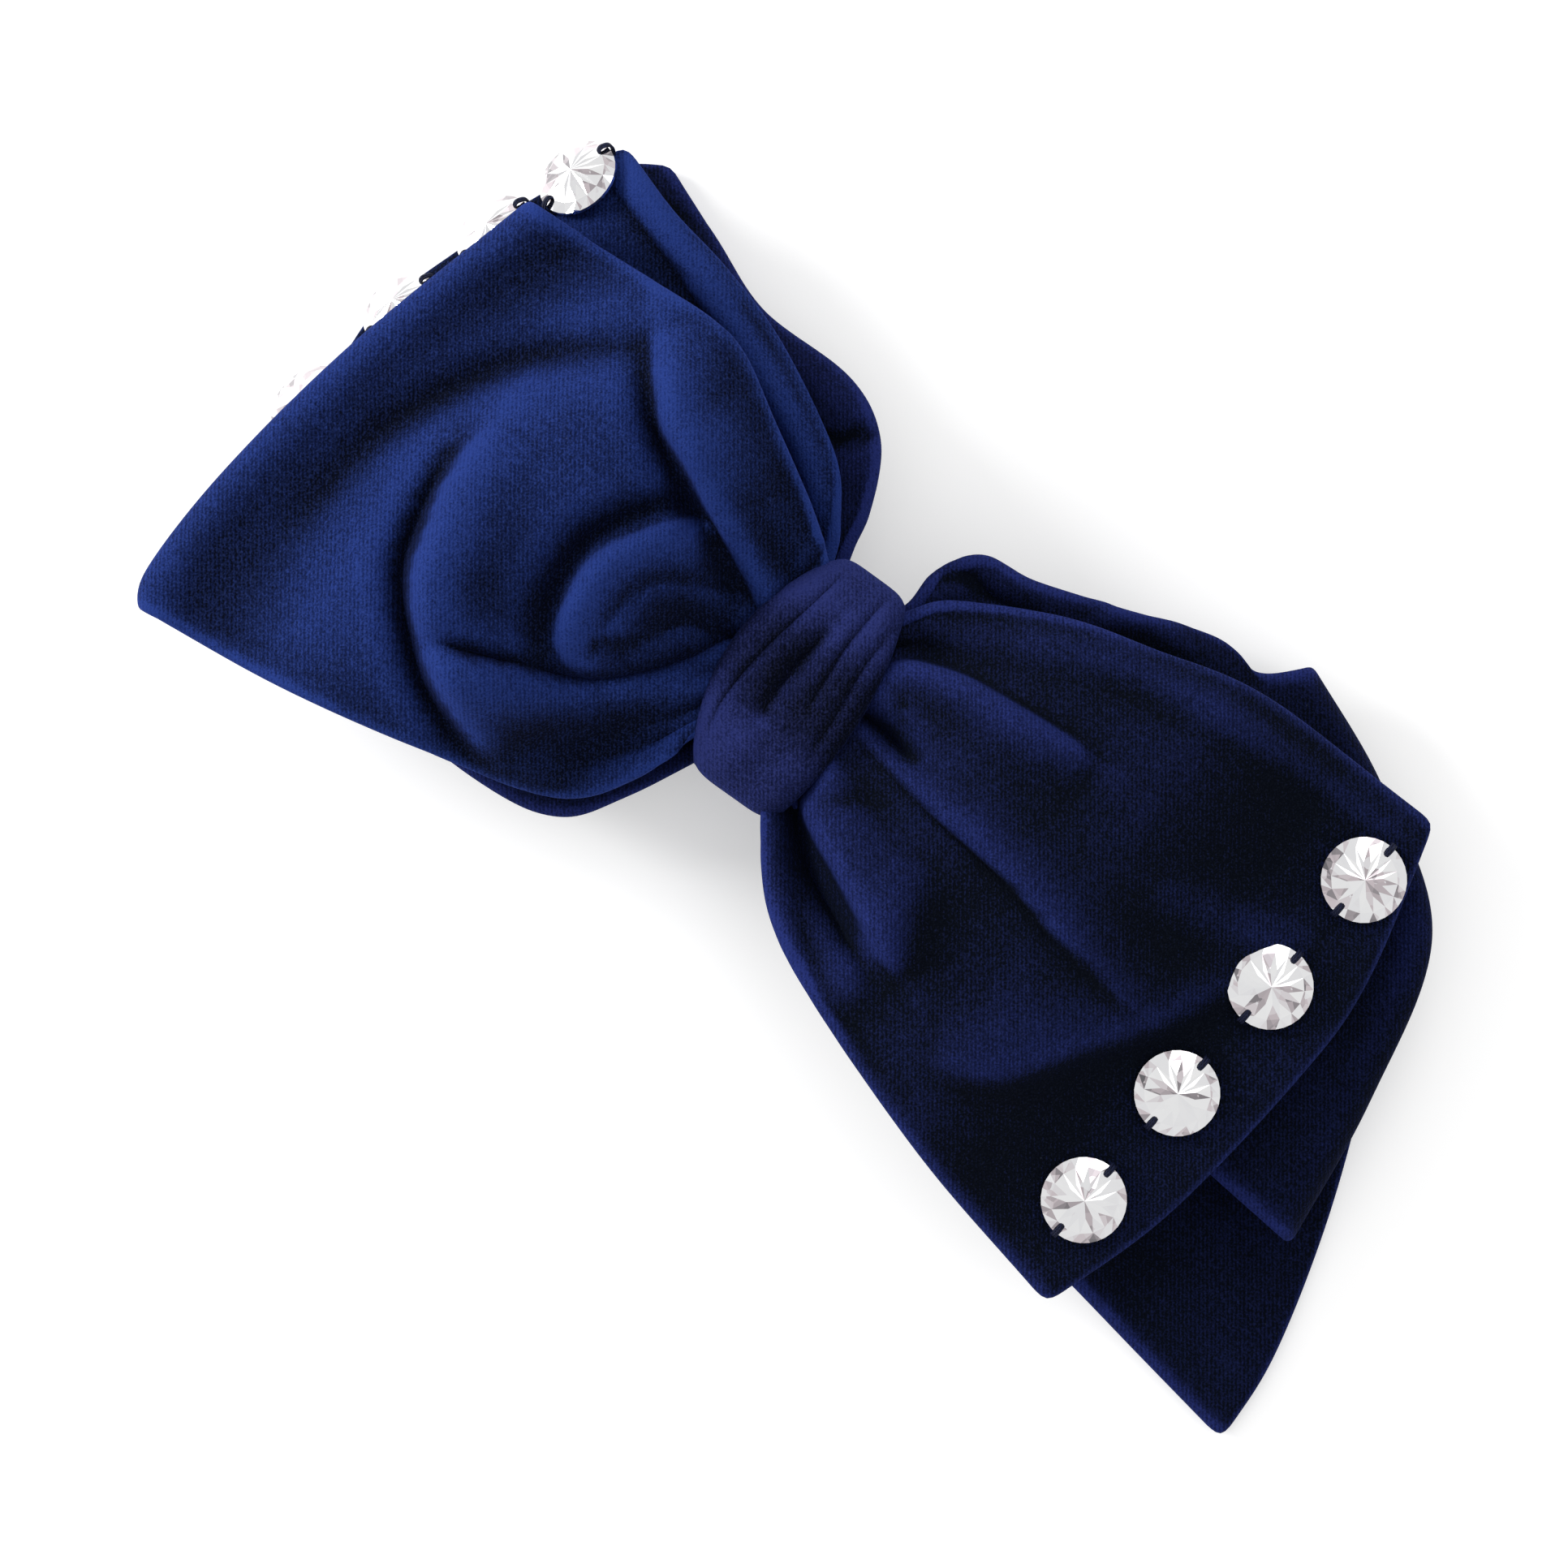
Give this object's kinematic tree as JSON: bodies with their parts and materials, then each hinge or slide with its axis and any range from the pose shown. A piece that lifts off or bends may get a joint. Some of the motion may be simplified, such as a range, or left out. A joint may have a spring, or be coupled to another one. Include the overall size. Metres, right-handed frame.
{
  "type": "cheer hair bow",
  "caption": "Large velvet hair bow with draped loops and tails, a pleated knot, sew-on crystals along the hems and a hinged barrette at the back.",
  "frame": {"origin": "midway between the ends of the clip, straight under the knot, on the plane that the clip's back rests on", "axes": "+X along the bow towards the jewelled front tail, +Y across the bow towards its upper side, +Z towards the front of the bow"},
  "size_m": [0.2274, 0.1121, 0.0468],
  "materials": {
    "velvet": "short cut pile, navy blue",
    "velvet_dark": "short cut pile, dark navy blue",
    "velvet_knot": "short cut pile, navy blue, creased",
    "thread": "twisted sewing thread, navy blue",
    "crystal": "clear cut glass with a silver foil back",
    "steel": "nickel-plated sheet steel",
    "spring_steel": "nickel-plated spring steel"
  },
  "bodies": {
    "root": {"under_panel_left": "velvet_dark", "under_tail_right": "velvet_dark", "jewel_tail_left": "velvet", "loop_back_right": "velvet_dark", "loop_front_left": "velvet", "jewel_tail_right": "velvet", "knot_wrap": "velvet_knot", "waist_binding": "thread", "crystal_front_1": "crystal", "crystal_front_2": "crystal", "crystal_front_3": "crystal", "crystal_front_4": "crystal", "crystal_back_1": "crystal", "crystal_back_2": "crystal", "crystal_back_3": "crystal", "crystal_back_4": "crystal", "thread_front_1": "thread", "thread_front_2": "thread", "thread_front_3": "thread", "thread_front_4": "thread", "thread_back_1": "thread", "thread_back_2": "thread", "thread_back_3": "thread", "thread_back_4": "thread", "barrette_base": "steel", "hinge_pin": "steel", "tension_leaf": "spring_steel", "catch_bracket": "steel"},
    "clasp": {"clasp_arm": "steel"},
    "wing_upper": {"catch_wing_upper": "spring_steel"},
    "wing_lower": {"catch_wing_lower": "spring_steel"}
  },
  "joints": [
    {"name": "clasp_hinge", "type": "hinge", "parent": "root", "child": "clasp", "pos_m": [-0.039, 0, 0.0018], "axis": [0, 1, 0], "range_deg": [0, 90]},
    {"name": "wing_upper_pinch", "type": "hinge", "parent": "root", "child": "wing_upper", "pos_m": [0.037, 0.0031, 0.0048], "axis": [-1, 0, 0], "range_deg": [0, 8], "stiffness_Nm_per_rad": 0.1},
    {"name": "wing_lower_pinch", "type": "hinge", "parent": "root", "child": "wing_lower", "pos_m": [0.037, -0.0031, 0.0048], "axis": [1, 0, 0], "range_deg": [0, 8], "stiffness_Nm_per_rad": 0.1}
  ]
}
